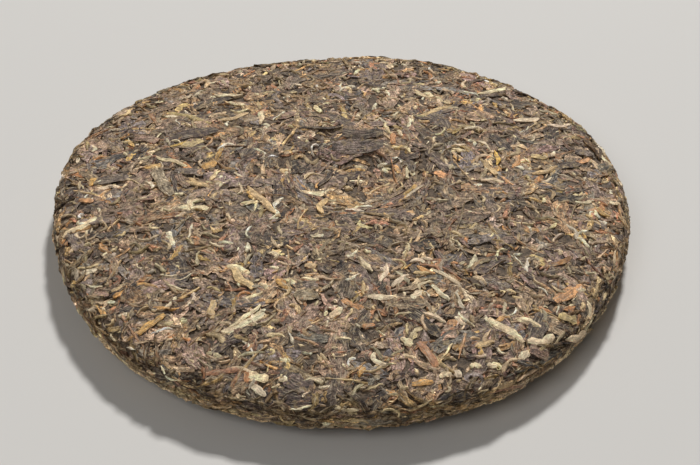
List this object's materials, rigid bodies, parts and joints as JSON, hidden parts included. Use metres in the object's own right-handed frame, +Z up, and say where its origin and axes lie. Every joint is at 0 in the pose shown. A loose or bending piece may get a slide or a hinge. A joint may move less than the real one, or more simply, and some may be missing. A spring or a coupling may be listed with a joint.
{
  "type": "pu erh tea cake",
  "caption": "Round pressed cake of raw pu erh tea: a low disc of flattened, overlapping leaves with a rounded ragged rim and a shallow off-centre dimple in its upper face.",
  "frame": {"origin": "on the table, under the middle of the cake's box, where the flat foot rests", "axes": "+Z up, out of the face with the dimple; -Y towards the side that the picture is taken from, +X to its right"},
  "size_m": [0.2004, 0.1976, 0.0232],
  "materials": {
    "pressed_leaf": "dry grey-brown to olive leaf, pressed flat, with a faint waxy sheen",
    "pale_bud": "matt cream to tan downy buds and split stalks",
    "golden_leaf": "dry golden to orange-brown leaf strips",
    "leaf_stalk": "smooth reddish-brown leaf stalks"
  },
  "bodies": {
    "root": {"tea_cake": "pressed_leaf"}
  },
  "joints": []
}
